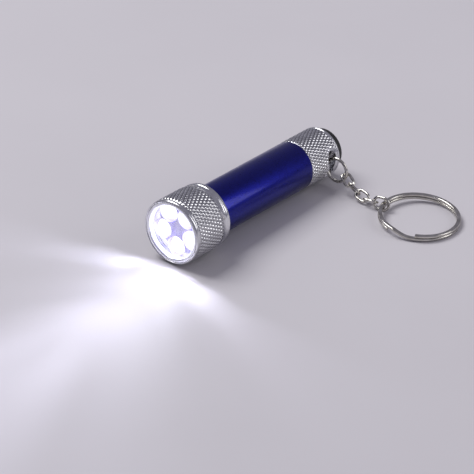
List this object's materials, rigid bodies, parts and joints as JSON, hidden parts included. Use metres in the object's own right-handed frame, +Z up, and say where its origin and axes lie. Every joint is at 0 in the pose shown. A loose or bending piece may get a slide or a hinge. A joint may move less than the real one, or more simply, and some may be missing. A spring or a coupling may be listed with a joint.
{
  "type": "keychain flashlight",
  "caption": "Keychain flashlight with a knurled head, round LEDs behind a clear lens, a blue barrel, a push-button tail cap, and a short chain with a split ring.",
  "frame": {"origin": "middle of the bottom of the whole object's box, on the surface it lies on", "axes": "+X from the head towards the tail along the torch, +Y away from the chain, +Z up"},
  "size_m": [0.0754, 0.0588, 0.0193],
  "materials": {
    "bare_aluminium": "knurled and turned, bare",
    "blue_anodised": "deep blue anodised, fine metallic grain",
    "chrome": "bright plated",
    "clear_lens": "clear moulded plastic",
    "led_epoxy": "water-clear epoxy, lit",
    "board_green": "solder-masked board",
    "white_plastic": "plain moulded",
    "black_plastic": "plain moulded",
    "black_rubber": "soft, matt",
    "spring_steel": "drawn wire",
    "brass": "turned",
    "nickel": "nickel plated wire",
    "cell_steel": "plated can"
  },
  "bodies": {
    "torch": {"tube": "blue_anodised", "head_seal": "black_rubber", "tail_seal": "black_rubber", "battery_sleeve": "white_plastic", "cell_1": "cell_steel", "cell_2": "cell_steel", "cell_3": "cell_steel", "cell_4": "cell_steel"},
    "head_carrier": {"front_spring": "spring_steel"},
    "head": {"head_shell": "bare_aluminium", "bezel_ring": "chrome", "lens": "clear_lens", "lens_seal": "black_rubber", "reflector": "chrome", "led_spacer": "white_plastic", "led_board": "board_green", "led_1": "led_epoxy", "led_2": "led_epoxy", "led_3": "led_epoxy", "led_4": "led_epoxy", "led_5": "led_epoxy", "board_contact": "brass", "resistor": "black_plastic"},
    "cap_carrier": {"tail_spring": "spring_steel"},
    "cap": {"tail_cap": "bare_aluminium", "switch_retainer": "brass", "switch_housing": "black_plastic", "switch_cover": "black_plastic", "contact_rivet": "brass", "switch_spring": "spring_steel", "boot_base": "black_rubber"},
    "button": {"button_boot": "black_rubber", "switch_plunger": "white_plastic", "moving_contact": "brass"},
    "jump": {"jump_ring": "nickel"},
    "link_1": {"chain_link_1": "nickel"},
    "link_2": {"chain_link_2": "nickel"},
    "link_3": {"chain_link_3": "nickel"},
    "link_4": {"chain_link_4": "nickel"},
    "link_5": {"chain_link_5": "nickel"},
    "key_ring": {"split_ring": "nickel"}
  },
  "joints": [
    {"name": "head_travel", "type": "slide", "parent": "torch", "child": "head_carrier", "axis": [-0.9992, 0, 0.0401], "range_m": [0, 0.003]},
    {"name": "head_turn", "type": "hinge", "parent": "head_carrier", "child": "head", "pos_m": [-0.03731, 0.01993, 0.00991], "axis": [-0.9992, 0, 0.0401], "range_deg": [0, 864]},
    {"name": "cap_travel", "type": "slide", "parent": "torch", "child": "cap_carrier", "axis": [0.9992, 0, -0.0401], "range_m": [0, 0.005]},
    {"name": "cap_turn", "type": "hinge", "parent": "cap_carrier", "child": "cap", "pos_m": [0.02264, 0.01993, 0.00751], "axis": [0.9992, 0, -0.0401], "range_deg": [0, 1440]},
    {"name": "button_press", "type": "slide", "parent": "cap", "child": "button", "axis": [-0.9992, 0, 0.0401], "range_m": [0, 0.0012], "stiffness_N_per_m": 900, "springref_m": -0.0012, "deforming": ["switch_spring"]},
    {"name": "ring_swing", "type": "hinge", "parent": "cap", "child": "jump", "pos_m": [0.02547, 0.01348, 0.00579], "axis": [0.9992, 0, -0.0401], "range_deg": [-25, 25]},
    {"name": "link_1_swing", "type": "hinge", "parent": "jump", "child": "link_1", "pos_m": [0.02543, 0.00776, 0.00483], "axis": [0.0385, -0.2756, 0.9605], "range_deg": [-50, 50]},
    {"name": "link_2_swing", "type": "hinge", "parent": "link_1", "child": "link_2", "pos_m": [0.02461, 0.00507, 0.0032], "axis": [0.8859, -0.4062, 0.2241], "range_deg": [-50, 50]},
    {"name": "link_3_swing", "type": "hinge", "parent": "link_2", "child": "link_3", "pos_m": [0.02423, 0.00199, 0.00207], "axis": [0.5324, 0.2331, -0.8138], "range_deg": [-50, 50]},
    {"name": "link_4_swing", "type": "hinge", "parent": "link_3", "child": "link_4", "pos_m": [0.02378, -0.00122, 0.0015], "axis": [-0.7431, 0.2171, -0.633], "range_deg": [-60, 12]},
    {"name": "link_5_swing", "type": "hinge", "parent": "link_4", "child": "link_5", "pos_m": [0.02378, -0.00448, 0.00202], "axis": [0.866, -0.0782, -0.4938], "range_deg": [-50, 50]},
    {"name": "key_ring_swing", "type": "hinge", "parent": "link_5", "child": "key_ring", "pos_m": [0.02412, -0.00688, 0.00206], "axis": [-0.9848, -0.1736, 0], "range_deg": [-75, 75]}
  ],
  "couplings": [
    {"joint": "head_turn", "follows": "head_travel", "rad_per_m": 5026.5},
    {"joint": "cap_turn", "follows": "cap_travel", "rad_per_m": 5026.5}
  ]
}
